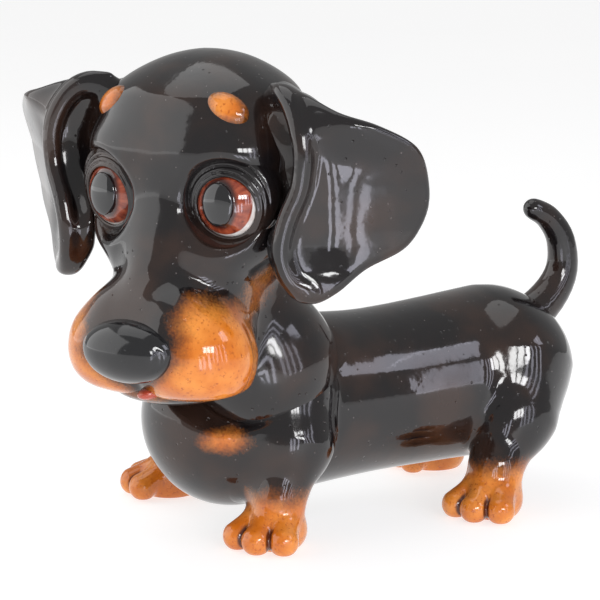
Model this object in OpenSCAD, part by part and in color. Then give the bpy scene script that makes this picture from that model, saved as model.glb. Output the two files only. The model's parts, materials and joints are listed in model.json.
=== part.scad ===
// Ceramic dachshund figurine: a hollow cast body on four legs and a loose hollow head.
// The head sits on a ball-shaped shoulder and turns on a round spigot along the neck axis.
// Units are mm, +Z is up, the dog faces -Y and its left side is +X.

/* [Body] */
// radius of the ball-shaped shoulder that carries the head
shoulder_r = 31; // [30:0.5:32]
// radius of the chest in front of the shoulder
chest_r = 30; // [28:0.5:31]
// radius of the barrel between the shoulder and the rump
barrel_r = 27; // [25:0.5:29]
// radius of the rump
rump_r = 28.5; // [26:0.5:30]
// wall thickness of both hollow castings
wall = 4; // [3:0.5:5]

/* [Legs and tail] */
// radius of a leg just above its paw
ankle_r = 8; // [7:0.5:9]
// overall width of a paw across its toes
paw_w = 25; // [23:1:28]
// height of a paw at the instep
paw_h = 16; // [14:1:18]
// radius of the tail at its root
tail_r = 6.5; // [5:0.5:8]

/* [Head] */
// turn of the head away from straight ahead, as it is cast
head_yaw = 28; // [24:1:32]
// radius of an eyeball
eye_r = 12; // [11:0.5:12.5]
// width of the nose
nose_w = 30; // [26:1:32]
// half thickness of an ear in its middle
ear_t = 4.4; // [4:0.2:5]

/* [Neck joint] */
// radius of the spigot under the neck
spigot_r = 9; // [7:0.5:10]
// gap between the head casting and the body casting
joint_gap = 0.4; // [0.35:0.05:0.6]

/* [Hidden] */
// moves the figurine so that its bounding box stands centred on the origin
home = [-7.3, -9.7, 0];
// centre of the shoulder ball, which is also the pivot of the head
pivot = [0, -15, 42];
// lean of the neck axis from vertical, and the bearing it leans towards
neck_lean = 43;
neck_bearing = 64;
neck_dir = [sin(neck_lean) * sin(neck_bearing), -sin(neck_lean) * cos(neck_bearing), cos(neck_lean)];
// distance of the rim plane of the neck from the pivot
rim_d = 21.4;
rim_r = sqrt(shoulder_r * shoulder_r - rim_d * rim_d);
lid_t = 1.5;
socket_r = spigot_r + joint_gap + 3;
eye_at = [20.5, -44.5, 74];
// front ridge of an ear in the head's frame, and how far the ear sweeps back from sideways
ear_at = [48, -49, 0];
ear_back = 39.6;
fine = 72;
medium = 48;

// ---- helpers ------------------------------------------------------------------------------

function unit(v) = v / norm(v);

// smooth curve through the listed values, u running from 0 to len(p) - 1
function spline(p, u) =
    let (n = len(p) - 1, i = min(n - 1, floor(u)), t = u - i,
         a = p[max(0, i - 1)], b = p[i], c = p[i + 1], d = p[min(n, i + 2)])
    0.5 * (2 * b + (c - a) * t + (2 * a - 5 * b + 4 * c - d) * t * t + (3 * b - 3 * c + d - a) * t * t * t);

// rounding of the two ends of a skinned form over its first and last span
function dome(u, n) = sqrt(max(0, 1 - pow(max(0, 1 - u, 1 + u - n), 2)));

// cosine on a squared-off circle: power 2 is a true ellipse, more is boxier
function square_cos(a, power) = sign(cos(a)) * pow(abs(cos(a)), 2 / power);

// closed skin round a spine: path holds centres, size holds [half width, half depth] of each ring,
// side is the direction of the half width, heading (if given) keeps every ring square to one direction,
// power squares the rings off and bow bends each ring out of its plane
module skin(path, size, side, sides = 24, rings = 20, heading = undef, power = 2, bow = 0) {
    n = len(path) - 1;
    us = [for (k = [1 : rings - 1]) n * (1 - cos(180 * k / rings)) / 2];
    ring_points = [for (u = us)
        let (c = spline(path, u),
             tangent = unit(spline(path, min(n, u + 0.01)) - spline(path, max(0, u - 0.01))),
             along = is_undef(heading) ? tangent : heading,
             s = unit(side - (side * along) * along),
             f = cross(along, s),
             z = spline(size, u) * dome(u, n))
        for (i = [0 : sides - 1])
            let (a = 360 * i / sides,
                 across = z[0] * square_cos(a, power),
                 deep = z[1] * square_cos(a - 90, power))
            c + across * s + (deep + bow * pow(across / 25, 2)) * f];
    points = concat([path[0]], ring_points, [path[n]]);
    last = len(points) - 1;
    caps = [for (i = [0 : sides - 1]) let (j = (i + 1) % sides) each [
        [0, 1 + i, 1 + j],
        [last, last - sides + j, last - sides + i]]];
    walls = [for (k = [0 : rings - 3], i = [0 : sides - 1])
        let (j = (i + 1) % sides, p = 1 + k * sides)
        each [[p + i, p + sides + j, p + j], [p + i, p + sides + i, p + sides + j]]];
    polyhedron(points, concat(caps, walls), convexity = 4);
}

// keeps a carved form as one faceted solid
module carved() resize([0, 0, 0]) children();

// turns a child drawn along +Z so that it points along v
module aim(v) rotate([0, acos(v[2] / norm(v)), atan2(v[1], v[0])]) children();

// the frame of the head: origin at the pivot, turned as cast
module head_frame() translate(pivot) rotate([0, 0, head_yaw]) children();

// draws a child for the left (1) or the right (-1) side of the head
module on_side(s) if (s > 0) children(); else mirror([1, 0, 0]) children();

// ---- body casting -------------------------------------------------------------------------

module trunk_outer() {
    skin(path = [[0, 97, 42.5], [0, 71, 42.5], [0, 26, 40], [0, -8, 40.5], [0, -26, 38], [0, -55.5, 38]],
         size = [for (r = [rump_r, rump_r, barrel_r, chest_r - 0.5, chest_r, chest_r]) [0.97 * r, r]],
         side = [1, 0, 0], sides = 32, rings = 24, heading = [0, -1, 0]);
}

// the part of the trunk that the neck skirt of the head sweeps over
module skirt_seat() translate(pivot) aim(neck_dir) intersection() {
    sphere(r = shoulder_r + 9, $fn = medium);
    translate([0, 0, rim_d - 1]) cylinder(r = 60, h = 60);
}

// round tube on the neck axis, between two distances from the pivot
module neck_tube(outer, inner, from, to) translate(pivot) aim(neck_dir) translate([0, 0, from]) difference() {
    cylinder(r = outer, h = to - from, $fn = fine);
    translate([0, 0, -1]) cylinder(r = inner, h = to - from + 2, $fn = fine);
}

// round hole that clears a tube of radius r all round
module neck_hole(r) translate(pivot) aim(neck_dir) cylinder(r = r / cos(180 / fine), h = shoulder_r + 8, $fn = fine);

module neck_ball(r, facets) translate(pivot) aim(neck_dir) sphere(r = r, $fn = facets);

module torso_shell() color("#2b2626") carved() difference() {
    union() {
        difference() {
            trunk_outer();
            skirt_seat();
        }
        neck_ball(shoulder_r, medium);
    }
    neck_ball(shoulder_r - wall, 28);
    translate([0, 24, 41.5]) scale([1, 2.4, 1]) sphere(r = barrel_r - wall, $fn = 28);
    neck_hole(socket_r);
}

// collar in the shoulder that the spigot turns in
module neck_socket() color("#4a4240") neck_tube(socket_r, spigot_r + joint_gap, shoulder_r - 12, shoulder_r - 3);

module below_floor() translate([0, 0, -20]) cube([300, 300, 40], center = true);

// a paw with three toes under its ankle, pointing along -Y before it is turned out, cut flat at the sole
module paw_form(foot, toe_out) {
    toe = paw_w / 3;
    translate(foot) rotate([0, 0, toe_out]) {
        translate([0, 1, paw_h * 0.36]) scale([paw_w * 0.42, paw_w * 0.5, paw_h * 0.55]) sphere(r = 1, $fn = 24);
        for (i = [-1 : 1])
            translate([i * toe * 0.92, -toe * (i == 0 ? 1.15 : 0.8), paw_h * 0.3])
                scale([toe * 0.56, toe * 0.85, paw_h * 0.42]) sphere(r = 1, $fn = 20);
    }
}

module paw(foot, toe_out) color("#c4762f") carved() difference() {
    paw_form(foot, toe_out);
    below_floor();
}

// a leg from the side of the trunk down to its paw
module leg(top, knee, ankle, foot, toe_out, top_size) color("#2b2626") carved() difference() {
    skin(path = [top, knee, ankle, foot + [0, 0, 5]],
         size = [top_size, (top_size + 2 * [ankle_r, ankle_r]) / 3 + [2, 2], [ankle_r, ankle_r], [ankle_r, ankle_r]],
         side = [0, 1, 0], sides = 20, rings = 12);
    trunk_outer();
    skirt_seat();
    neck_ball(shoulder_r, medium);
    paw_form(foot, toe_out);
}

// where each paw stands and how far it is turned out
front_left_foot = [29.5, -27, 0];
front_right_foot = [-49, -27.5, 0];
rear_left_foot = [31, 55.5, 0];
rear_right_foot = [-36.5, 73.5, 0];
front_turn = [34, -24];
rear_turn = [30, -20];

module front_left_leg()
    leg([20, -17, 50], [26, -19, 32], [29.5, -24, 18], front_left_foot, front_turn[0], [16, 15]);
module front_right_leg()
    leg([-20, -17, 50], [-32, -18.5, 32], [-43, -21.5, 18], front_right_foot, front_turn[1], [16, 15]);
module rear_left_leg()
    leg([14, 74, 50], [24, 71, 31], [29, 60, 16], rear_left_foot, rear_turn[0], [20, 17]);
module rear_right_leg()
    leg([-14, 74, 50], [-25, 76, 31], [-32, 75.5, 16], rear_right_foot, rear_turn[1], [20, 17]);

module front_left_paw() paw(front_left_foot, front_turn[0]);
module front_right_paw() paw(front_right_foot, front_turn[1]);
module rear_left_paw() paw(rear_left_foot, rear_turn[0]);
module rear_right_paw() paw(rear_right_foot, rear_turn[1]);

module tail() color("#2b2626") carved() difference() {
    skin(path = [[0, 82, 56], [0, 95, 63], [0, 104, 74], [0, 104, 86], [0, 98.5, 94.5], [0, 91, 98.5]],
         size = [for (r = [1.1, 1, 0.85, 0.72, 0.6, 0.52]) [tail_r * r, tail_r * r]],
         side = [1, 0, 0], sides = 16, rings = 20);
    trunk_outer();
}

// ---- head casting -------------------------------------------------------------------------

// outline of the head in its own frame: height, front, back and half width of each level
head_levels = [[119, -34, -21, 8], [105, -54, -6, 27.5], [90, -58.5, 0, 32.5], [74, -57.5, -1, 33.5],
               [60, -59, -8, 29.5], [48, -63.5, -18, 21.5], [36, -70, -27, 25], [25, -75, -33, 30.5],
               [16, -71, -36, 28], [10.5, -58, -46, 14]];

module head_form(t, sides, rings)
    skin(path = [for (v = head_levels)
             [0, (v[1] + v[2]) / 2, v[0] - t * (v[0] > 110 ? 1 : v[0] < 12 ? -1 : 0)]],
         size = [for (v = head_levels) [max(v[3], 22) - t, max((v[2] - v[1]) / 2, 16) - t]],
         side = [1, 0, 0], sides = sides, rings = rings, heading = [0, 0, -1], power = 2.4);

module head_outer() head_frame() head_form(0, 32, 28);

// the neck drawn along the neck axis from the pivot, bent up into the skull
module neck_form(t)
    skin(path = [pivot + 8 * neck_dir, pivot + rim_d * neck_dir, [12, -31, 78], [13, -38, 100]],
         size = [for (r = [rim_r + 1, rim_r + 1.6, 20, 18]) [r - t, r - t]],
         side = [1, 0, 0], sides = 28, rings = 16);

module eye_place(s) head_frame() on_side(s) translate(eye_at) rotate([0, 0, 5]) children();

// everything beyond the rim plane of the neck
module above_rim() translate(pivot) aim(neck_dir) translate([0, 0, rim_d]) cylinder(r = 90, h = 140);

module head_shell() color("#2b2626") carved() difference() {
    union() {
        head_outer();
        intersection() {
            neck_form(0);
            above_rim();
        }
    }
    head_frame() head_form(wall, 20, 18);
    difference() {
        intersection() {
            neck_form(wall);
            above_rim();
        }
        neck_ball(shoulder_r + joint_gap + wall, 28);
    }
    neck_ball(shoulder_r + joint_gap, medium);
    neck_hole(spigot_r);
    for (s = [-1, 1]) eye_place(s) sphere(r = eye_r + lid_t + 0.1, $fn = 40);
    lower_jaw_form();
}

// tube under the neck that turns in the collar and joins the two hollows
module neck_spigot() color("#4a4240") neck_tube(spigot_r, spigot_r - 3, shoulder_r - 11, shoulder_r + 4);

module lower_jaw_form() head_frame() translate([0, -50, 13.5]) scale([20, 16, 5.2]) sphere(r = 1, $fn = 28);

module lower_jaw() color("#e0a070") carved() difference() {
    lower_jaw_form();
    neck_ball(shoulder_r + 1, medium);
}

module tongue() color("#b8564a") carved() difference() {
    head_frame() translate([1.5, -67.5, 13.5]) scale([5.5, 6.5, 3]) sphere(r = 1, $fn = 24);
    head_outer();
    lower_jaw_form();
}

module nose() color("#1e1a1b") carved() difference() {
    head_frame() translate([0, -72, 28.5]) rotate([20, 0, 0]) difference() {
        scale([nose_w / 2, 11, 10.3]) sphere(r = 1, $fn = 36);
        for (s = [-1, 1]) translate([s * nose_w * 0.38, -8, -5]) sphere(r = 3, $fn = 16);
    }
    head_outer();
}

// outline of an ear in its own plane: distance out from its front ridge, depth behind the ridge,
// height and half length
ear_levels = [[-3.5, 8, 109.5, 3], [1.8, 5, 105.5, 6], [10, 4.5, 100, 11.3], [16.5, 4.5, 94, 15.8],
              [19.3, 4.5, 88, 18.8], [19.1, 5, 80, 20.3], [17.6, 6, 72, 22.2], [15, 7, 66, 22.7],
              [12.3, 7.5, 60, 20.2], [7.3, 8.5, 54, 13.1], [5, 9, 48, 8], [4, 9, 43.8, 5]];

// a thick flap that stands out from the temple and sweeps back, on a short root
module ear(s) color("#2b2626") carved() difference() {
    head_frame() on_side(s) {
        translate(ear_at) rotate([0, 0, ear_back])
            skin(path = [for (v = ear_levels) [v[0], v[1], v[2]]],
                 size = [for (v = ear_levels) [v[3], ear_t]],
                 side = [1, 0, 0], sides = 28, rings = 24, heading = [0, 0, -1], power = 3, bow = 1.5);
        translate([36, -33, 97]) scale([14, 11, 11.5]) sphere(r = 1, $fn = 28);
    }
    head_outer();
    eye_place(s) sphere(r = eye_r + lid_t + 0.1, $fn = 40);
}

module left_ear() ear(1);
module right_ear() ear(-1);

iris_r = eye_r * 0.74;
iris_d = sqrt(eye_r * eye_r - iris_r * iris_r);
pupil_r = eye_r * 0.5;

// the eye is drawn looking along +Z and then laid to look along -Y
module gaze() rotate([90, 0, 0]) children();

module eyeball(s) color("#f4f1ea") eye_place(s) gaze() intersection() {
    sphere(r = eye_r, $fn = fine);
    translate([0, 0, -20]) cylinder(r = 20, h = 20 + iris_d, $fn = fine);
}

module left_eyeball() eyeball(1);
module right_eyeball() eyeball(-1);

module iris(s) color("#8e4030") eye_place(s) gaze() difference() {
    intersection() {
        sphere(r = eye_r, $fn = 2 * fine);
        translate([0, 0, iris_d]) cylinder(r = iris_r + 1, h = 20, $fn = 2 * fine);
    }
    cylinder(r = pupil_r, h = 20, $fn = 2 * fine);
}

module left_iris() iris(1);
module right_iris() iris(-1);

module pupil(s) color("#120e0e") eye_place(s) gaze() intersection() {
    sphere(r = eye_r + 0.5, $fn = fine);
    translate([0, 0, iris_d]) cylinder(r = pupil_r, h = 20, $fn = fine);
}

module left_pupil() pupil(1);
module right_pupil() pupil(-1);

// a lid is a slice of a shell round the eyeball, turned about the line across the eye
module lid(s, from, sweep) color("#2b2626") eye_place(s) rotate([0, 90, 0])
    rotate([0, 0, from]) rotate_extrude(angle = sweep, $fn = fine) intersection() {
        difference() {
            circle(r = eye_r + lid_t, $fn = fine);
            circle(r = eye_r, $fn = fine);
        }
        translate([0, -30]) square([30, 60]);
    }

module left_upper_lid() lid(1, 100, 114);
module right_upper_lid() lid(-1, 100, 114);
module left_lower_lid() lid(1, -34, 114);
module right_lower_lid() lid(-1, -34, 114);

module brow_spot(s) color("#e08a3c") carved() difference() {
    head_frame() on_side(s) translate([22.3, -50, 102]) rotate([20, 0, 25]) scale([7.6, 5, 5.7]) sphere(r = 1, $fn = 24);
    head_outer();
}

module left_brow_spot() brow_spot(1);
module right_brow_spot() brow_spot(-1);

// ---- parts --------------------------------------------------------------------------------

translate(home) {
    torso_shell();
    front_left_leg();
    front_right_leg();
    rear_left_leg();
    rear_right_leg();
    front_left_paw();
    front_right_paw();
    rear_left_paw();
    rear_right_paw();
    tail();
    neck_socket();
    head_shell();
    neck_spigot();
    lower_jaw();
    tongue();
    nose();
    left_ear();
    right_ear();
    left_eyeball();
    right_eyeball();
    left_iris();
    right_iris();
    left_pupil();
    right_pupil();
    left_upper_lid();
    right_upper_lid();
    left_lower_lid();
    right_lower_lid();
    left_brow_spot();
    right_brow_spot();
}
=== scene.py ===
import json
import math

import bpy
import numpy as np
import openvdb
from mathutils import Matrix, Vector


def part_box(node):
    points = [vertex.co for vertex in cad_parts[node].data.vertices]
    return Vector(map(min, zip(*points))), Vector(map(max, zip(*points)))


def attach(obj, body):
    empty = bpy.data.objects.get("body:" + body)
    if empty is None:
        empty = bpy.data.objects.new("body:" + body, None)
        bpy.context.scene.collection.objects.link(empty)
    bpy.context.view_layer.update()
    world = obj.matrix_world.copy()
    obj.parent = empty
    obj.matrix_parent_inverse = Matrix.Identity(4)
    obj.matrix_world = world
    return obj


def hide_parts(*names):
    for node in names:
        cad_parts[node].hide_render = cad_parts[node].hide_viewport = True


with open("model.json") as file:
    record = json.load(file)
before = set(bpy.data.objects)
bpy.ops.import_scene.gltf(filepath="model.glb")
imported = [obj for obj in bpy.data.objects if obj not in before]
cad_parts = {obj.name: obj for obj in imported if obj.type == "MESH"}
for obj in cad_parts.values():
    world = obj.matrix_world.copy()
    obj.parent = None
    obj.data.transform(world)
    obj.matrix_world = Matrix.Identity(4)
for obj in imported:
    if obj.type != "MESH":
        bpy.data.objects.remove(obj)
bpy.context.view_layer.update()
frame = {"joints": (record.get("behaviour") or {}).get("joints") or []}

# ---- named sizes, in mm, in the frame the figurine was drawn in ----------------------------------
PIVOT = np.array([0.0, -15.0, 42.0])        # centre of the ball-shaped shoulder
HOME = np.array(frame["joints"][0]["pos_m"]) * 1000 - PIVOT    # from the drawing frame to the shared frame
HEAD_YAW = math.radians(28)
NECK_LEAN, NECK_BEARING = math.radians(43), math.radians(64)
NECK_DIR = np.array([math.sin(NECK_LEAN) * math.sin(NECK_BEARING),
                     -math.sin(NECK_LEAN) * math.cos(NECK_BEARING), math.cos(NECK_LEAN)])
SHOULDER_R, RIM_D, JOINT_GAP = 31.0, 21.4, 0.4
RIM_R = math.sqrt(SHOULDER_R ** 2 - RIM_D ** 2)
EYE_R = 12.0
EYE_AT = np.array([20.8, -44.7, 74.0])      # in the head frame
LID_TURN, LID_TILT, GAZE_TURN = 13.5, 9.8, 6.0      # the lids turn out and tip down; the gaze turns out
IRIS_ANGLE = 54.5                           # half angle of the iris
PUPIL_W, PUPIL_H = 5.3, 6.8
EAR_AT = np.array([48.0, -49.0, 0.0])       # front ridge of an ear, in the head frame
EAR_BACK = 39.6                             # how far an ear sweeps back from sideways
EAR_LIFT = 0.11                             # the right ear is carried higher, by this much of its reach
COARSE = 1.0
SIDES = ((1, "left"), (-1, "right"))


# ---- distance fields --------------------------------------------------------------------------------
def smin(a, b, k):
    """Smooth union; k is the width of the blend."""
    h = np.maximum(k - np.abs(a - b), 0) / k
    return np.minimum(a, b) - h * h * k * 0.25


def smax(a, b, k):
    """Smooth intersection."""
    return -smin(-a, -b, k)


def smooth(x, low, high):
    """Soft step from 0 at low to 1 at high."""
    t = np.clip((x - low) / (high - low), 0, 1)
    return t * t * (3 - 2 * t)


def bump(x, centre, width):
    return np.exp(-((x - centre) / width) ** 2)


def ball(p, c, r):
    return np.sqrt((p[0] - c[0]) ** 2 + (p[1] - c[1]) ** 2 + (p[2] - c[2]) ** 2) - r


def turned(p, c, angles=(0, 0, 0)):
    """Coordinates about c, in axes turned by angles (degrees) about X, then Y, then Z."""
    x, y, z = p[0] - c[0], p[1] - c[1], p[2] - c[2]
    ax, ay, az = (math.radians(a) for a in angles)
    x, y = x * math.cos(az) + y * math.sin(az), -x * math.sin(az) + y * math.cos(az)
    x, z = x * math.cos(ay) - z * math.sin(ay), x * math.sin(ay) + z * math.cos(ay)
    y, z = y * math.cos(ax) + z * math.sin(ax), -y * math.sin(ax) + z * math.cos(ax)
    return [x, y, z]


def egg(p, c, radii, angles=(0, 0, 0)):
    """Ellipsoid."""
    x, y, z = turned(p, c, angles)
    a, b, d = radii
    k0 = np.sqrt((x / a) ** 2 + (y / b) ** 2 + (z / d) ** 2)
    k1 = np.sqrt((x / a ** 2) ** 2 + (y / b ** 2) ** 2 + (z / d ** 2) ** 2)
    return k0 * (k0 - 1) / np.maximum(k1, 1e-6)


def limb(p, a, b, ra, rb):
    """Round cone from a ball of radius ra at a to one of radius rb at b."""
    d = [b[i] - a[i] for i in range(len(a))]
    t = sum((p[i] - a[i]) * d[i] for i in range(len(a))) / sum(q * q for q in d)
    t = np.clip(t, 0, 1)
    q = np.sqrt(sum((p[i] - a[i] - t * d[i]) ** 2 for i in range(len(a))))
    return q - (ra + (rb - ra) * t)


def chain(p, points, radii, k=0.0):
    """A run of limbs through the points."""
    out = None
    for a, b, ra, rb in zip(points, points[1:], radii, radii[1:]):
        d = limb(p, a, b, ra, rb)
        out = d if out is None else (smin(out, d, k) if k else np.minimum(out, d))
    return out


def spline(a, b, c, d, t):
    """Catmull-Rom value between b and c."""
    return 0.5 * (2 * b + (c - a) * t + (2 * a - 5 * b + 4 * c - d) * t * t
                  + (3 * b - 3 * c + d - a) * t ** 3)


def curve(values, steps=240):
    """Samples of a smooth curve through rows of values."""
    v = np.asarray(values, float)
    n = len(v) - 1
    out = []
    for u in np.linspace(0, n, steps):
        i = min(n - 1, int(u))
        out.append(spline(v[max(0, i - 1)], v[i], v[i + 1], v[min(n, i + 2)], u - i))
    return np.array(out)


def closed_curve(corners, steps=12):
    """Samples of a smooth closed curve through the corners, steps to a side."""
    v = np.asarray(corners, float)
    n = len(v)
    out = []
    for u in np.linspace(0, n, steps * n, endpoint=False):
        i = int(u)
        out.append(spline(*(v[(i + k) % n] for k in (-1, 0, 1, 2)), u - i))
    return np.array(out)


def tube(p, points, radii, k=2.0, steps=None):
    """A limb with a smoothly curved middle line."""
    rows = curve(np.column_stack([points, radii]), steps or 4 * len(points) - 3)
    return chain(p, [list(r[:3]) for r in rows], list(rows[:, 3]), k)


def plane(p, point, normal):
    """Distance from a plane, positive on the side that the normal points to."""
    return sum((p[i] - point[i]) * normal[i] for i in range(3))


def portion(whole, zone, margin=3.0):
    """The part of a casting inside zone; it runs on under its neighbour, sinking gently out of sight."""
    past = np.clip(zone, 0, margin)
    return smax(whole + 0.06 * past * past, zone - margin, 0.5)


# ---- meshing ----------------------------------------------------------------------------------------
BAND = 3                # steps of distance kept either side of a surface
MESH_PULLS = 2          # how often the vertices are pulled onto it


def split(v):
    return [v[:, 0], v[:, 1], v[:, 2]]


def gradient(v, field, e):
    g = np.empty_like(v)
    for i in range(3):
        d = np.zeros(3)
        d[i] = e
        g[:, i] = (field(split(v + d)) - field(split(v - d))) / (2 * e)
    return g


def onto_surface(v, field, e, most):
    """Points moved towards field = 0, by no more than most."""
    g = gradient(v, field, e)
    f = field(split(v))
    g2 = np.maximum((g * g).sum(1), 0.05)
    move = -g * (f / g2)[:, None]
    length = np.linalg.norm(move, axis=1)[:, None] + 1e-12
    return v + move * np.minimum(1, most / length)


def mesh_field(name, field, low, high, step, to_row):
    """Closed mesh of field < 0 inside the box low..high, its vertices pulled onto the surface."""
    step = step * COARSE
    low = np.asarray(low, float) - BAND * step
    n = [int(math.ceil((high[i] + BAND * step - low[i]) / step)) + 1 for i in range(3)]
    axes = [(low[i] + step * np.arange(n[i])).astype(np.float32) for i in range(3)]
    p = [axes[0][:, None, None], axes[1][None, :, None], axes[2][None, None, :]]
    values = np.ascontiguousarray(np.broadcast_to(field(p), n), dtype=np.float32)
    grid = openvdb.FloatGrid(background=float(BAND * step))
    grid.copyFromArray(np.clip(values, -BAND * step, BAND * step))
    points, quads = grid.convertToQuads(isovalue=0.0)
    v = points.astype(float) * step + low
    for _ in range(MESH_PULLS):
        v = onto_surface(v, field, 0.05 * step, 0.5 * step)
    normals = gradient(v[quads[:, 0]], field, 0.2)
    a, b, c = v[quads[:, 0]], v[quads[:, 1]], v[quads[:, 2]]
    if (np.cross(b - a, c - a) * normals).sum() < 0:
        quads = quads[:, ::-1]
    row = to_row(v) / 1000
    mesh = bpy.data.meshes.new(name)
    mesh.vertices.add(len(row))
    mesh.vertices.foreach_set("co", row.astype(np.float32).ravel())
    mesh.loops.add(quads.size)
    mesh.loops.foreach_set("vertex_index", np.ascontiguousarray(quads, dtype=np.int32).ravel())
    mesh.polygons.add(len(quads))
    mesh.polygons.foreach_set("loop_start", np.arange(0, quads.size, 4, dtype=np.int32))
    mesh.polygons.foreach_set("loop_total", np.full(len(quads), 4, dtype=np.int32))
    mesh.update(calc_edges=True)
    mesh.polygons.foreach_set("use_smooth", np.ones(len(quads), dtype=bool))
    piece = bpy.data.objects.new(name, mesh)
    bpy.context.scene.collection.objects.link(piece)
    print("piece", name, len(quads), "quads")
    return piece, v


def attribute(piece, name, values):
    a = piece.data.attributes.new(name, "FLOAT", "POINT")
    a.data.foreach_set("value", np.ascontiguousarray(values, dtype=np.float32))


# ---- frames -----------------------------------------------------------------------------------------
def body_row(v):
    """Vertices of a body piece in the shared frame, in mm."""
    return v + HOME


def head_row(v):
    """Vertices of a head piece, from the head frame to the shared frame, in mm."""
    c, s = math.cos(HEAD_YAW), math.sin(HEAD_YAW)
    out = np.empty_like(v)
    out[:, 0] = v[:, 0] * c - v[:, 1] * s
    out[:, 1] = v[:, 0] * s + v[:, 1] * c
    out[:, 2] = v[:, 2]
    return out + PIVOT + HOME


def head_point(point):
    """A drawing-frame point in the head frame."""
    c, s = math.cos(HEAD_YAW), math.sin(HEAD_YAW)
    x, y = point[0] - PIVOT[0], point[1] - PIVOT[1]
    return np.array([x * c + y * s, -x * s + y * c, point[2] - PIVOT[2]])


HEAD_NECK_DIR = head_point(NECK_DIR + PIVOT)
HEAD_RIM = RIM_D * HEAD_NECK_DIR

# ---- body -------------------------------------------------------------------------------------------
# where each paw stands, and how far its toes turn out
FEET = {"front_left": ((29.5, -27, 0), 34), "front_right": ((-49, -27.5, 0), -24),
        "rear_left": ((31, 55.5, 0), 30), "rear_right": ((-36.5, 73.5, 0), -20)}
# each leg's middle line from the trunk to the ankle; the radii along it go by front and rear
LEGS = {"front_left": [[20, -15, 48], [26, -17.5, 33], [29.5, -23.5, 17], [29.5, -26, 7]],
        "front_right": [[-20, -15, 48], [-31.5, -18, 33], [-43, -21.5, 17], [-47.5, -26, 7]],
        "rear_left": [[13, 74, 46], [22, 70, 31], [29, 60, 16.5], [31, 57, 7]],
        "rear_right": [[-13, 74, 46], [-24, 75.5, 31], [-32, 75.5, 16.5], [-36.5, 74.5, 7]]}
LEG_RADII = {"front": [15.5, 13, 7.6, 7.6], "rear": [21, 14.5, 8.4, 8]}
PAW_W, PAW_H = 25.0, 16.0
TOE_R, TOE_BACK_R = 4.9, 3.0
TAIL = [[0, 80, 55], [0, 96, 63], [0, 105, 74], [0, 105, 86], [0, 99.5, 94.5], [0, 93, 98.3]]
TAIL_RADII = [7.6, 6.7, 5.6, 4.8, 4.1, 3.5]
# the trunk's middle line: along, height, radius
TRUNK = curve([[-26, 38, 30], [-8, 40.3, 29.8], [26, 41, 27.8], [71.5, 43.5, 29.4]])


def trunk(p):
    y = np.clip(p[1], TRUNK[0, 0], TRUNK[-1, 0])
    z = np.interp(y, TRUNK[:, 0], TRUNK[:, 1])
    r = np.interp(y, TRUNK[:, 0], TRUNK[:, 2])
    return np.sqrt((p[0] / 0.97) ** 2 + (p[1] - y) ** 2 + (p[2] - z) ** 2) - r


def leg_field(p, key):
    return chain(p, LEGS[key], LEG_RADII[key.split("_")[0]], 5)


def paw_field(p, key):
    foot, toe_out = FEET[key]
    q = turned(p, foot, (0, 0, toe_out))
    toe = PAW_W / 3
    pad = egg(q, (0, 2.5, 5.2), (PAW_W * 0.42, PAW_W * 0.44, PAW_H * 0.52))
    toes = None
    for i in (-1, 0, 1):
        ahead = -toe * (1.15 if i == 0 else 0.8)
        d = limb(q, (i * toe, ahead - 0.6, 4.7), (i * toe * 0.62, ahead + 9, 11.0), TOE_R, TOE_BACK_R)
        toes = d if toes is None else smin(toes, d, 0.5)
    return smax(smin(pad, toes, 1.4), -q[2], 1.0)


def torso_only(p):
    """Trunk and shoulder, with room for the rim of the neck."""
    skirt = smax(ball(p, PIVOT, SHOULDER_R + 9), -plane(p, PIVOT + (RIM_D - 1.2) * NECK_DIR, NECK_DIR), 0.6)
    d = smax(trunk(p), -skirt, 1.0)
    return smin(d, ball(p, PIVOT, SHOULDER_R), 0.8)


def leg_blend(p, key):
    """Width of a leg's blend into the trunk: wide in front, tight behind, where the cast has a crease."""
    y = LEGS[key][1][1]
    if key.startswith("front"):
        return 2.5 + 6.5 * (1 - smooth(p[1], y - 5, y + 8))
    return 3.5 + 9.0 * smooth(p[1], y - 8, y + 8)


def leg_zone(p, key):
    """The part of the casting that belongs to a leg's piece."""
    return chain(p, LEGS[key][1:], [14, 15, 17])


def body_casting(p, keys, paws=True):
    d = torso_only(p)
    for key in keys:
        leg = leg_field(p, key)
        if paws:
            leg = smin(leg, paw_field(p, key), 4.0)
        d = smin(d, leg, leg_blend(p, key))
    return d


def torso_piece(p):
    d = body_casting(p, LEGS, paws=False)
    zone = None
    for key in LEGS:
        z = leg_zone(p, key)
        zone = z if zone is None else np.minimum(zone, z)
    return portion(d, -zone)


def leg_piece(key):
    def field(p):
        return smax(portion(body_casting(p, [key]), leg_zone(p, key)), -p[2], 0.8)
    return field


def tail_piece(p):
    return tube(p, TAIL, TAIL_RADII, 0.8, 24)


# ---- head -------------------------------------------------------------------------------------------
# height, front, back, half width of the head from crown to chin
HEAD_LEVELS = [[119, -43.5, -11.5, 22], [105, -55.5, -5, 30.5], [90, -60, 0, 36], [74, -58, -1, 35],
               [60, -60.5, -6, 34], [48, -61, -17, 24], [36, -66, -27, 24], [25, -70, -33, 29.5],
               [16, -67, -36, 27.5], [10.5, -64, -40, 20]]
HEAD_ROWS = curve(HEAD_LEVELS[::-1], 400)
CROWN, CHIN = HEAD_ROWS[-1, 0], HEAD_ROWS[0, 0]
DOME_Z, JOWL_Z = 105, 16                    # above and below these the head rounds off
LID_BULGE, LID_FLAT_R = 7.9, 9.6            # how far ahead the lids stand, and how wide they stay flat
LID_R = 16.6
# folds of the lids: radius of the ring, radius of its section, height of its middle
LID_RINGS = ((10.2, 0.75, 0.2), (11.5, 0.8, 0.6), (12.9, 0.85, 1.2), (14.5, 1.1, 1.9))
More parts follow.
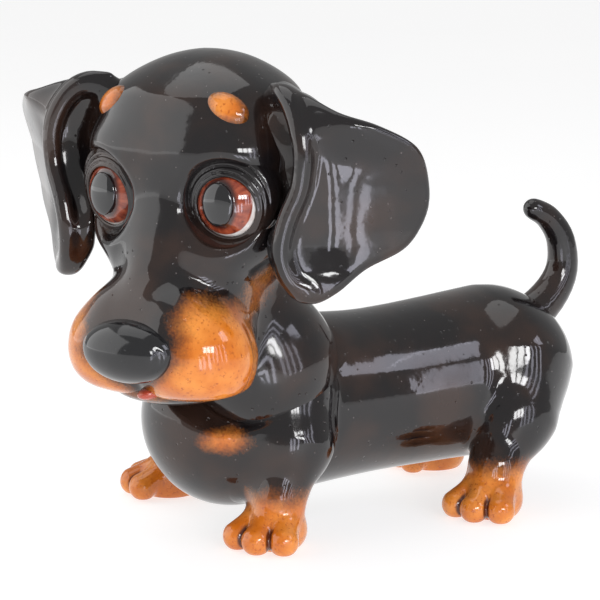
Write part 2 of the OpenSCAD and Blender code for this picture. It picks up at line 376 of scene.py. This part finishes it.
# creases, as middle lines and radii: behind the hanging lip, in the mouth's notch, round a nostril's wing
LIP_FOLD = [(29.5, -50, 14), (31.5, -46.5, 24), (30.5, -46.5, 33), (29, -50, 41)], [1.2, 1.4, 1.0, 0.3]
MOUTH_NOTCH = [(0, -78, 20), (0, -70, 15.5), (0, -64, 8)], [1.0, 1.7, 4.0]
NOSE_WING = [(13.6, -78.5, 33.5), (15.6, -77.5, 28), (12, -79.5, 22.5), (5.5, -80, 19)], [0.4, 1.0, 1.0, 0.4]
BROW_AT, BROW_SIZE, BROW_ANGLES = np.array([21.4, -49.5, 102.6]), (7.3, 3.5, 4.8), (-28, 26, 14)


def head_block(p):
    """Rounded solid whose level sections follow HEAD_ROWS."""
    power = 2.4 + 0.4 * smooth(p[2], 100, 90) * smooth(p[2], 55, 70)
    z = np.clip(p[2], CHIN + 0.05, CROWN - 0.05)
    front, back, half = (np.interp(z, HEAD_ROWS[:, 0], HEAD_ROWS[:, i]) for i in (1, 2, 3))
    up, down = np.maximum(z - DOME_Z, 0) / (CROWN - DOME_Z), np.maximum(JOWL_Z - z, 0) / (JOWL_Z - CHIN)
    dome = np.sqrt(np.maximum(1 - up * up, 0.001)) * np.sqrt(np.maximum(1 - down * down, 0.001))
    half = half * dome
    deep = (back - front) / 2 * dome
    u, v = np.abs(p[0]) / half, np.abs(p[1] - (front + back) / 2) / deep
    rho = (u ** power + v ** power + 1e-9) ** (1 / power)
    slope = np.sqrt((u / half) ** 2 + (v / deep) ** 2 + 1e-9) / np.maximum(rho, 0.3)
    side = (rho - 1) / slope
    return smax(smax(side, p[2] - CROWN + 0.35, 3), CHIN - p[2], 3)


def neck_field(p):
    points = [head_point(PIVOT + 8 * NECK_DIR), head_point(PIVOT + RIM_D * NECK_DIR),
              head_point([12, -31, 78]), head_point([13, -38, 100])]
    return chain(p, [list(q) for q in points], [RIM_R + 1, RIM_R + 1.5, 20, 18], 4)


def eye_frame(p, side):
    """Coordinates about an eye's centre; y runs back along the axis of the lids."""
    return turned([p[0] * side, p[1], p[2]], EYE_AT, (LID_TILT, 0, LID_TURN))


def gaze_frame(p, side):
    """Coordinates about an eye's centre; y runs back along the gaze."""
    return turned([p[0] * side, p[1], p[2]], EYE_AT, (0, 0, GAZE_TURN))


def lid_profile(r):
    """How far ahead of the eye's centre the lids' surface lies, by distance from the axis."""
    out = np.maximum(r - LID_FLAT_R, 0)
    return LID_BULGE - 0.12 * out - 0.115 * out * out


def socket(p, side):
    """Space cleared in front of the lids."""
    x, y, z = eye_frame(p, side)
    r = np.sqrt(x * x + (z - 1.5) ** 2)
    wide = r - (12.8 - 0.9 * smooth(z, 0, -8) + 0.3 * np.maximum(-y - 7, 0))
    return smax(wide, y + lid_profile(np.minimum(r, 16)) - 0.5, 1.5)


def face(p):
    """The head casting before its separate details."""
    d = head_block(p)
    q = [np.abs(p[0]), p[1], p[2]]
    bridge = chain(p, [(0, -46, 84), (0, -50.5, 62), (0, -55, 50), (0, -58, 40)], [10, 10, 10, 12], 4)
    muzzle = limb(q, (0, -60.5, 36), (9, -60.5, 36), 12, 12.5)
    flew = smax(egg(q, (14, -57, 27), (17.5, 16.5, 17)), 12.5 - p[2], 8)
    d = smin(d, bridge, 6)
    return smin(d, smin(muzzle, flew, 5), 6)


def head_piece(p):
    d = smin(face(p), neck_field(p), 7)
    for side, _ in SIDES:
        d = smax(d, -socket(p, side), 3.5)
    d = smax(d, -chain(p, *MOUTH_NOTCH), 2.5)
    d = smax(d, -tube([np.abs(p[0]), p[1], p[2]], *LIP_FOLD), 3.0)
    d = smax(d, -plane(p, HEAD_RIM, HEAD_NECK_DIR), 0.5)
    return smax(d, -ball(p, (0, 0, 0), SHOULDER_R + JOINT_GAP), 0.4)


def lid_piece(side, upper):
    def field(p):
        x, y, z = eye_frame(p, side)
        r = np.sqrt(x * x + (z - 1.3) ** 2)
        d = smax(smax(r - LID_R, -y - lid_profile(r) + 0.9, 1.5), y - 5, 1.0)
        for major, minor, lift in LID_RINGS:
            rr = np.sqrt(x * x + (z - lift) ** 2)
            ring = np.sqrt((rr - major) ** 2 + (y + lid_profile(rr) - 0.5) ** 2) - minor
            d = smin(d, ring, 0.3)
        d = smax(d, -(np.sqrt(x * x + y * y + z * z) - (EYE_R + 0.1)), 0.3)
        cut = z + 2.5 - 0.10 * x
        return portion(d, -cut if upper else cut, 1.0)
    return field


def eyeball_piece(side):
    def field(p):
        x, y, z = gaze_frame(p, side)
        d = np.sqrt(x * x + y * y + z * z) - EYE_R
        return smin(d, egg([x, y, z], (0, -EYE_R + 0.9, 0), (PUPIL_W, 1.7, PUPIL_H)), 0.3)
    return field


def nose_piece(p):
    d = egg(p, (0, -72, 28.8), (16.6, 10.4, 10), (-14, 0, 0))
    return smax(d, -tube([np.abs(p[0]), p[1], p[2]], *NOSE_WING), 1.0)


def brow_frame(p, side):
    """Coordinates about a brow spot's centre, along its own axes."""
    return turned([p[0] * side, p[1], p[2]], BROW_AT, BROW_ANGLES)


def brow_piece(side):
    def field(p):
        return egg(brow_frame(p, side), (0, 0, 0), BROW_SIZE)
    return field


def jaw_piece(p):
    return egg(p, (0, -50, 14), (20, 16, 5.2))


def tongue_piece(p):
    return egg(p, (2.6, -65.5, 14.6), (3.6, 4.5, 2.0), (0, -12, 0))


def ear_frame(p, side):
    """u runs out along the ear from its front ridge, w out through its outer face, z up."""
    u, y, z = turned([p[0] * side, p[1], p[2]], EAR_AT, (0, 0, EAR_BACK))
    lift = 0.0 if side > 0 else EAR_LIFT
    return u, -y, z - lift * np.maximum(u, 0)


# corners of an ear's outline, from the top of the root round by the outer edge
EAR_EDGE = [[-6, 110], [3, 107.5], [12, 103], [24, 99], [35.5, 92.5], [39.8, 82], [39.6, 71], [33.5, 60.7],
            [21, 54], [12, 47], [4.5, 43.8], [-2.5, 46.5], [-7.6, 58], [-6.8, 68.5], [-1.8, 78], [0.8, 90],
            [-1.5, 101]]
EAR_THICK, EAR_THIN_OUT, EAR_THIN_TIP = 9.7, 4.5, 2.6   # thickness, and what the outer edge and tip lose
EAR_SPREAD = 0.24                                       # how much wider an ear's front is than its back
# depth of an ear's outer face, by height: along its front ridge, then out along its free edge
RIDGE_DEPTH = [44, 54, 62, 80, 95], [-2.0, -3.0, -3.3, -1.5, 0]
OUTER_DEPTH = [44, 54, 66, 80, 90, 99, 107], [-2.4, -3.5, -3.7, -1.5, 1.8, 4.6, 4.6]
# the hollow behind the ridge, and the rolled rim along it from the root to the tip
EAR_CUP = [(38, -46, 99), (41.5, -47.5, 91), (41.0, -48.5, 80), (37.5, -51, 68)], [4.6, 6.4, 6.2, 4.4]
EAR_RIM = ([(29, -37, 104), (36, -41.5, 107), (41.5, -45, 105), (46, -47.4, 98), (48, -48.2, 90),
            (47, -48.4, 80), (43, -49.5, 70), (41, -49.8, 60), (43, -47.4, 51.5), (48, -43, 47.5)],
           [3.2, 2.8, 2.6, 2.5, 2.4, 2.4, 2.4, 2.3, 2.2, 1.8])


def outline_field(corners, low, high, cell):
    """Grid of signed distances from the closed curve through the corners."""
    loop = closed_curve(corners)
    gu, gz = np.meshgrid(*(np.arange(low[i], high[i], cell) for i in (0, 1)), indexing="ij")
    best = np.full(gu.shape, 1e9)
    inside = np.zeros(gu.shape, bool)
    for a, b in zip(loop, np.roll(loop, -1, axis=0)):
        best = np.minimum(best, limb([gu, gz], a, b, 0, 0))
        over = (a[1] > gz) != (b[1] > gz)
        if over.any() and a[1] != b[1]:
            inside ^= over & (gu < a[0] + (gz - a[1]) * (b[0] - a[0]) / (b[1] - a[1]))
    return np.where(inside, -best, best)


EAR_LOW, EAR_HIGH, EAR_CELL = (-24.0, 30.0), (56.0, 124.0), 0.3     # corners of the grid, and its step
EAR_GRID = outline_field(EAR_EDGE, EAR_LOW, EAR_HIGH, EAR_CELL)


def ear_outline(u, z):
    """Signed distance from an ear's outline, read off the grid."""
    i = np.clip((u - EAR_LOW[0]) / EAR_CELL, 0, EAR_GRID.shape[0] - 1.001)
    j = np.clip((z - EAR_LOW[1]) / EAR_CELL, 0, EAR_GRID.shape[1] - 1.001)
    i0, j0 = np.floor(i).astype(int), np.floor(j).astype(int)
    s, t = i - i0, j - j0
    return ((EAR_GRID[i0, j0] * (1 - s) + EAR_GRID[i0 + 1, j0] * s) * (1 - t)
            + (EAR_GRID[i0, j0 + 1] * (1 - s) + EAR_GRID[i0 + 1, j0 + 1] * s) * t)


def ear_face(u, z):
    """Depth w of the outer face of an ear."""
    ridge = np.interp(z, *RIDGE_DEPTH) - 0.045 * np.maximum(z - 95, 0) ** 2
    outer = np.interp(z, *OUTER_DEPTH)
    high = smooth(z, 84, 100)
    t = np.clip((u + 2 * high) / (39 - 20 * high), 0, 1)
    dip = bump(u, 9, 6) * smooth(z, 50, 62) * (1 - high)
    return ridge + (outer - ridge) * smooth(t, 0, 1) - dip


def ear_piece(side):
    def field(p):
        u, w, z = ear_frame(p, side)
        top = ear_face(u, z)
        thick = EAR_THICK - EAR_THIN_OUT * smooth(u, 4, 34) * smooth(z, 46, 66)
        thick = thick - EAR_THIN_TIP * smooth(z, 56, 43)
        shift = EAR_SPREAD * np.clip(top - w, 0, 12)
        edge = ear_outline(u + shift, z)
        q = [p[0] * side, p[1], p[2]]
        plate = smax(smax(w - top, edge, 3.0), top - thick - w, 4.0)
        root = limb(q, (24, -28, 97), (40, -35.5, 96), 13, 9.5)
        web = chain(q, [(30, -26, 92), (33, -30, 80), (31, -31, 66)], [11, 9, 5], 3)
        web = smin(web, chain(q, [(40, -36.5, 92), (40.5, -36.5, 82), (37, -38, 69)], [7.5, 6, 3.5], 3), 5)
        d = smin(smin(plate, root, 6), web, 3)
        d = smax(d, -tube(q, *EAR_CUP), 4.0)
        return smin(d, tube(q, *EAR_RIM), 2.0)
    return field


# ---- pieces -----------------------------------------------------------------------------------------
def place(piece, body, slot, *nodes):
    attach(piece, body)
    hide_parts(*nodes)


def node_box(node, grow):
    """Box of a CAD node of the body, in mm, in the drawing frame."""
    low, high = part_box(node)
    low, high = np.array(low) * 1000 - HOME, np.array(high) * 1000 - HOME
    return low - grow, high + grow


def body_pieces():
    made = {}
    low, high = node_box("torso_shell", 4)
    made["torso"] = mesh_field("torso", torso_piece, low, high, 1.0, body_row)
    place(made["torso"][0], "body", "black_glaze", "torso_shell", "neck_socket")
    for key in LEGS:
        low, high = node_box(key + "_leg", 5)
        paw_low, paw_high = node_box(key + "_paw", 3)
        low, high = np.minimum(low, paw_low), np.maximum(high, paw_high)
        low[2] = 0
        name = key + "_leg_and_paw"
        made[name] = mesh_field(name, leg_piece(key), low, high, 0.6, body_row)
        place(made[name][0], "body", "black_glaze", key + "_leg", key + "_paw")
    low, high = node_box("tail", 3)
    made["tail_piece"] = mesh_field("tail_piece", tail_piece, low, high, 0.6, body_row)
    place(made["tail_piece"][0], "body", "black_glaze", "tail")
    return made


# pieces on the middle of the head: name, field, box, mesh step, slot, CAD nodes
MIDDLE_PIECES = (
    ("head", head_piece, [-38, -80, 2], [38, 30, 124], 0.75, "black_glaze", "head_shell", "neck_spigot"),
    ("nose_pad", nose_piece, [-18, -84, 14], [18, -56, 44], 0.5, "nose_glaze", "nose"),
    ("jaw", jaw_piece, [-22, -72, 4], [22, -34, 19], 0.7, "tan_glaze", "lower_jaw"),
    ("tongue_tip", tongue_piece, [-8, -76, 8], [8, -58, 18], 0.5, "lip_glaze", "tongue"))
EAR_BOX = np.array([14, -60, 38]), np.array([90, 4, 118])     # of the left ear


def head_pieces():
    made = {}

    def make(name, field, low, high, step, slot, *nodes):
        made[name] = mesh_field(name, field, low, high, step, head_row)
        place(made[name][0], "head", slot, *nodes)

    for row in MIDDLE_PIECES:
        make(*row)
    for side, word in SIDES:
        eye, brow = EYE_AT * [side, 1, 1], BROW_AT * [side, 1, 1]
        make(word + "_eye", eyeball_piece(side), eye - 13, eye + 13, 0.45,
             "eye_white", word + "_eyeball", word + "_iris", word + "_pupil")
        for upper, lid in ((True, "_upper"), (False, "_lower")):
            make(word + lid + "_eyelid", lid_piece(side, upper), eye - 19, eye + 20, 0.4,
                 "black_glaze", word + lid + "_lid")
        make(word + "_brow", brow_piece(side), brow - 10, brow + 10, 0.5, "tan_glaze", word + "_brow_spot")
        low, high = (end.copy() for end in EAR_BOX)
        if side < 0:
            low[0], high[0] = -EAR_BOX[1][0], -EAR_BOX[0][0]
        make(word + "_ear_flap", ear_piece(side), low, high, 0.6, "black_glaze", word + "_ear")
    return made


# ---- painted marks, as distances in mm inside their edges ---------------------------------------------
CHEST_SPOT = np.array([21.0, -37.0, 36.0])  # middle of the left spot
CHEST_SPOT_W, CHEST_SPOT_H = 7.4, 3.6
BARE = -20.0                                # far outside every mark
PAW_MARK_TOP = 17.0
# half width of the black bridge of the muzzle, by height
BRIDGE_WIDTH = [10, 16, 21, 27, 34, 42, 50], [1.5, 4.5, 12, 18.5, 19, 17, 20]


def crease(v, whole, reach=2.6):
    """0 on an open surface, towards 1 deep in the narrow folds of the casting; it sets where painted shade
    darkens the tan.
    """
    n = gradient(v, whole, 0.3)
    n /= np.linalg.norm(n, axis=1)[:, None] + 1e-9
    return np.clip(1.0 - whole(split(v + reach * n)) / reach, 0, 1)


def chest_mark(v):
    x = np.abs(v[:, 0])
    along = (x - CHEST_SPOT[0]) * 0.73 + (v[:, 1] - CHEST_SPOT[1]) * 0.68
    rho = np.sqrt((along / CHEST_SPOT_W) ** 2 + ((v[:, 2] - CHEST_SPOT[2]) / CHEST_SPOT_H) ** 2)
    return np.where(v[:, 1] < PIVOT[1], (0.8 - rho) * 4.2, BARE)


def paw_mark(v, key):
    """Tan paw and ankle, kept off the chest by the leg's own form."""
    own = np.minimum(leg_field(split(v), key), paw_field(split(v), key))
    return np.minimum(PAW_MARK_TOP - v[:, 2], 6.0 - 3.0 * own)


def muzzle_mark(v):
    """Tan lips and cheeks on either side of the black bridge of the muzzle."""
    x, y, z = np.abs(v[:, 0]), v[:, 1], v[:, 2]
    lips = np.minimum(np.minimum(x - np.interp(z, *BRIDGE_WIDTH), 43.5 - z - 0.25 * (y + 60)), -45.5 - y)
    cheek = 6.5 - limb([x, y, z], (30, -32, 46), (30, -46, 34), 0, 0)
    return np.maximum(lips, cheek)


def paint(made):
    """Store on each piece what its glaze needs to know: marks, depth in folds for painted shade, the rings
    of the eye.
    """
    whole = {"torso": lambda p: body_casting(p, LEGS), "head": head_piece, "tail_piece": tail_piece}
    for name, (piece, v) in made.items():
        mark = np.full(len(v), BARE)
        form = whole.get(name)
        if name == "torso":
            mark = chest_mark(v) * 1.1
        elif name.endswith("leg_and_paw"):
            mark = paw_mark(v, name[:-len("_leg_and_paw")]) * 0.7
            form = whole["torso"]
        elif name == "head":
            mark = muzzle_mark(v) * 0.62
        elif name.endswith("brow"):
            q = brow_frame(split(v), 1 if "left" in name else -1)
            mark = 7.0 * (0.86 - np.sqrt((q[0] / BROW_SIZE[0]) ** 2 + (q[2] / BROW_SIZE[2]) ** 2))
        elif name == "jaw":
            mark = -66 - v[:, 1]
        attribute(piece, "tan_mark", mark)
        # how deep each point lies in the folds, for the painted shade in the glaze
        attribute(piece, "fold_shade", crease(v, form) if form else np.zeros(len(v)))
    for side, word in SIDES:
        piece, v = made[word + "_eye"]
        x, y, z = gaze_frame(split(v), side)
        attribute(piece, "pupil", np.sqrt((x / PUPIL_W) ** 2 + (z / PUPIL_H) ** 2) + 3.0 * (y > 0))
        attribute(piece, "from_gaze", np.degrees(np.arctan2(np.sqrt(x * x + z * z), -y)))
        attribute(piece, "round_iris", np.arctan2(z, x))


# ---- materials --------------------------------------------------------------------------------------
class Glaze:
    """A node material under construction."""

    def __init__(self, name):
        self.material = bpy.data.materials.new(name)
        self.material.use_nodes = True
        self.tree = self.material.node_tree
        self.shader = self.tree.nodes["Principled BSDF"]
        self.place = self.add("ShaderNodeTexCoord").outputs["Object"]

    def add(self, kind, inputs=None, **settings):
        n = self.tree.nodes.new(kind)
        for key, value in settings.items():
            setattr(n, key, value)
        for key, value in (inputs or {}).items():
            if isinstance(value, bpy.types.NodeSocket):
                self.tree.links.new(value, n.inputs[key])
            else:
                n.inputs[key].default_value = value
        return n

    def mark(self, name):
        """A value stored on the mesh by paint."""
        return self.add("ShaderNodeAttribute", attribute_name=name).outputs["Fac"]

    def noise(self, scale, detail=2.0, where=None):
        inputs = {"Vector": where or self.place, "Scale": scale, "Detail": detail}
        return self.add("ShaderNodeTexNoise", inputs).outputs["Fac"]

    def span(self, value, low, high, out_low=0.0, out_high=1.0):
        """Soft step of a value between low and high."""
        inputs = {"Value": value, "From Min": low, "From Max": high, "To Min": out_low, "To Max": out_high}
        return self.add("ShaderNodeMapRange", inputs, interpolation_type="SMOOTHSTEP").outputs["Result"]

    def math(self, operation, a, b=0.5):
        return self.add("ShaderNodeMath", {0: a, 1: b}, operation=operation).outputs[0]

    def mix(self, part, a, b):
        a, b = ((*c, 1) if isinstance(c, tuple) else c for c in (a, b))
        return self.add("ShaderNodeMix", {0: part, 6: a, 7: b}, data_type="RGBA").outputs[2]

    def specks(self, scale, size):
        """Scattered dots, 1 at the middle of each."""
        cell = self.add("ShaderNodeTexVoronoi", {"Vector": self.place, "Scale": scale})
        near = self.span(cell.outputs["Distance"], size, size * 0.4)
        chance = self.add("ShaderNodeSeparateColor", {0: cell.outputs["Color"]}).outputs[0]
        return self.math("MULTIPLY", near, self.span(chance, 0.62, 0.64))

    def colour(self, socket):
        self.tree.links.new(socket, self.shader.inputs["Base Color"])

    def gloss(self, rough=(0.05, 0.14), coat=0.3, depth=0.00012, pits=None):
        """Glassy surface with the faint ripple and pinholes of a fired glaze."""
        s = self.shader.inputs
        self.tree.links.new(self.span(self.noise(70, 3), 0.3, 0.7, *rough), s["Roughness"])
        s["IOR"].default_value = 1.5
        s["Coat Weight"].default_value = coat
        s["Coat Roughness"].default_value = 0.03
        wave = self.add("ShaderNodeBump", {"Height": self.noise(210, 2), "Distance": depth, "Strength": 0.5})
        last = wave
        if pits is not None:
            last = self.add("ShaderNodeBump", {"Height": pits, "Distance": 0.0003, "Strength": 0.8,
                                               "Normal": wave.outputs[0]}, invert=True)
        self.tree.links.new(last.outputs[0], s["Normal"])
        self.tree.links.new(last.outputs[0], s["Coat Normal"])


def black_glaze():
    """Black glaze over brown clay, sprayed with tan marks that keep a soft, grainy edge; painted shade
    darkens the tan in the folds.
    """
    g = Glaze("black_and_tan_glaze")
    pits = g.specks(330, 0.16)
    black = g.mix(g.span(g.noise(38, 3), 0.42, 0.68), (0.008, 0.0065, 0.007), (0.032, 0.016, 0.011))
    black = g.mix(g.specks(420, 0.13), black, (0.11, 0.095, 0.09))
    tan = g.mix(g.span(g.noise(90, 3), 0.35, 0.7), (0.60, 0.150, 0.010), (0.78, 0.270, 0.042))
    tan = g.mix(g.span(g.noise(900, 2), 0.55, 0.8), tan, (0.42, 0.085, 0.008))
    # painted shade: the tan turns deep brown deep in the folds of the casting
    tan = g.mix(g.span(g.mark("fold_shade"), 0.18, 0.75), tan, (0.11, 0.022, 0.006))
    grain = g.math("MULTIPLY", g.math("SUBTRACT", g.noise(1100, 3)), 3.0)
    drift = g.math("MULTIPLY", g.math("SUBTRACT", g.noise(110, 2)), 4.0)
    edge = g.math("ADD", g.math("ADD", g.mark("tan_mark"), grain), drift)
    g.colour(g.mix(g.span(edge, -3.2, 3.6), black, tan))
    g.gloss(pits=pits)
    return g.material


def nose_glaze():
    g = Glaze("nose_glaze")
    g.colour(g.mix(g.span(g.noise(60, 3), 0.35, 0.7), (0.010, 0.010, 0.011), (0.026, 0.023, 0.024)))
    g.gloss(depth=0.00008, pits=g.specks(420, 0.11))
    return g.material


def eye_glaze():
    """White of the eye, streaked red-brown iris with a dark ring, and black pupil."""
    g = Glaze("eye_glaze")
    streak = g.add("ShaderNodeCombineXYZ", {"X": g.math("MULTIPLY", g.mark("round_iris"), 5.0),
                                            "Y": g.math("MULTIPLY", g.mark("from_gaze"), 0.03)}).outputs[0]
    white = g.mix(g.span(g.noise(300, 2), 0.4, 0.7), (0.80, 0.77, 0.74), (0.70, 0.62, 0.58))
    iris = g.mix(g.span(g.noise(1.0, 3, streak), 0.3, 0.7), (0.22, 0.030, 0.012), (0.40, 0.085, 0.035))
    iris = g.mix(g.span(g.noise(500, 3), 0.5, 0.8), iris, (0.10, 0.012, 0.006))
    iris = g.mix(g.span(g.mark("pupil"), 1.30, 1.05), iris, (0.05, 0.010, 0.006))
    dome = g.mix(g.span(g.mark("from_gaze"), IRIS_ANGLE + 1.2, IRIS_ANGLE - 1.2), white, iris)
    g.colour(g.mix(g.span(g.mark("pupil"), 1.04, 0.97), dome, (0.006, 0.006, 0.007)))
    g.gloss(rough=(0.03, 0.06), coat=0.8, depth=0.00004)
    return g.material


def lip_glaze():
    g = Glaze("lip_glaze")
    g.colour(g.mix(g.span(g.noise(300, 2), 0.35, 0.7), (0.42, 0.06, 0.03), (0.60, 0.16, 0.09)))
    g.gloss()
    return g.material


# ---- scene, in metres and degrees -------------------------------------------------------------------
FLOOR_HALF, FLOOR_GLOW = 4, 0.72
VIEW_AZIMUTH, VIEW_ELEVATION, VIEW_DISTANCE, AIM_HEIGHT = 61, 10.5, 0.850, 0.0742
LENS, SENSOR = 153, 36                      # mm
WORLD_LIGHT = 0.42
LILAC = (0.86, 0.86, 1.0)


def floor():
    mesh = bpy.data.meshes.new("floor")
    h = FLOOR_HALF
    mesh.from_pydata([(-h, -h, 0), (h, -h, 0), (h, h, 0), (-h, h, 0)], [], [(0, 1, 2, 3)])
    piece = bpy.data.objects.new("floor", mesh)
    bpy.context.scene.collection.objects.link(piece)
    g = Glaze("pale_floor")
    g.colour(g.mix(g.noise(3, 2), (0.38, 0.38, 0.385), (0.42, 0.42, 0.42)))
    g.shader.inputs["Roughness"].default_value = 0.6
    g.shader.inputs["Emission Color"].default_value = (1, 1, 1, 1)
    g.shader.inputs["Emission Strength"].default_value = FLOOR_GLOW
    mesh.materials.append(g.material)


def toward(azimuth, elevation):
    """Direction from the figurine; azimuth 0 is straight ahead of it, 90 on its left."""
    az, el = math.radians(azimuth), math.radians(elevation)
    return Vector((math.sin(az) * math.cos(el), -math.cos(az) * math.cos(el), math.sin(el)))


def camera():
    aim = Vector((HOME[0] / 1000, HOME[1] / 1000, AIM_HEIGHT))
    back = toward(VIEW_AZIMUTH, VIEW_ELEVATION)
    data = bpy.data.cameras.new("camera")
    data.lens, data.sensor_width = LENS, SENSOR
    data.clip_start, data.clip_end = 0.05, 20
    cam = bpy.data.objects.new("camera", data)
    bpy.context.scene.collection.objects.link(cam)
    cam.location = aim + back * VIEW_DISTANCE
    cam.rotation_mode = "QUATERNION"
    cam.rotation_quaternion = (-back).to_track_quat("-Z", "Y")
    bpy.context.scene.camera = cam


def panel(name, azimuth, elevation, wide, high, radiance, colour=(1, 1, 1), away=1.1, aim=(0, 0, 0.09)):
    """Soft card of light facing the figurine; its place and angular size are in degrees, seen from aim."""
    out = toward(azimuth, elevation)
    data = bpy.data.lights.new(name, "AREA")
    data.shape = "RECTANGLE"
    data.size, data.size_y = (2 * away * math.tan(math.radians(a) / 2) for a in (wide, high))
    data.energy, data.color = radiance * math.pi * data.size * data.size_y, colour
    lamp = bpy.data.objects.new(name, data)
    bpy.context.scene.collection.objects.link(lamp)
    lamp.location = Vector(aim) + out * away
    lamp.rotation_mode = "QUATERNION"
    lamp.rotation_quaternion = (-out).to_track_quat("-Z", "Y")
    lamp.visible_camera = False


def lights():
    """Two big soft cards, and rows of narrow ones that draw the window and blind in the glaze."""
    world = bpy.data.worlds.new("studio")
    bpy.context.scene.world = world
    world.use_nodes = True
    world.node_tree.nodes["Background"].inputs[0].default_value = (1, 1, 1, 1)
    world.node_tree.nodes["Background"].inputs[1].default_value = WORLD_LIGHT
    panel("left_wall", -28, 22, 70, 56, 1.25)
    panel("ceiling", -60, 75, 50, 40, 1.0)
    for i in range(3):
        panel("window_pane_%d" % i, 74 + 8.5 * i, 16, 6.5, 11, 16)
    for i in range(2):
        panel("tall_window_%d" % i, 124.5 + 9.5 * i, 35, 8.5, 19, 3.4, LILAC)
    for i, azimuth in enumerate((91, 99, 108, 118)):
        panel("blind_%d" % i, azimuth, -4, 3.4, 52, 3.6, LILAC)
    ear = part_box("left_ear")
    ear = ((Vector(ear[0]) + Vector(ear[1])) / 2)[:2] + (0.115,)
    for i, azimuth in enumerate((56, 64, 75)):
        panel("low_card_%d" % i, azimuth, -30 + 4 * i, 4.5, 40, 5.0, LILAC, 0.24, ear)
    bpy.context.scene.view_settings.view_transform = "Standard"


made = {**body_pieces(), **head_pieces()}
paint(made)
black, nose, eye, lip = black_glaze(), nose_glaze(), eye_glaze(), lip_glaze()
special = {"nose_pad": nose, "tongue_tip": lip, "left_eye": eye, "right_eye": eye}
for name, (piece, _) in made.items():
    piece.data.materials.append(special.get(name, black))
floor()
camera()
lights()
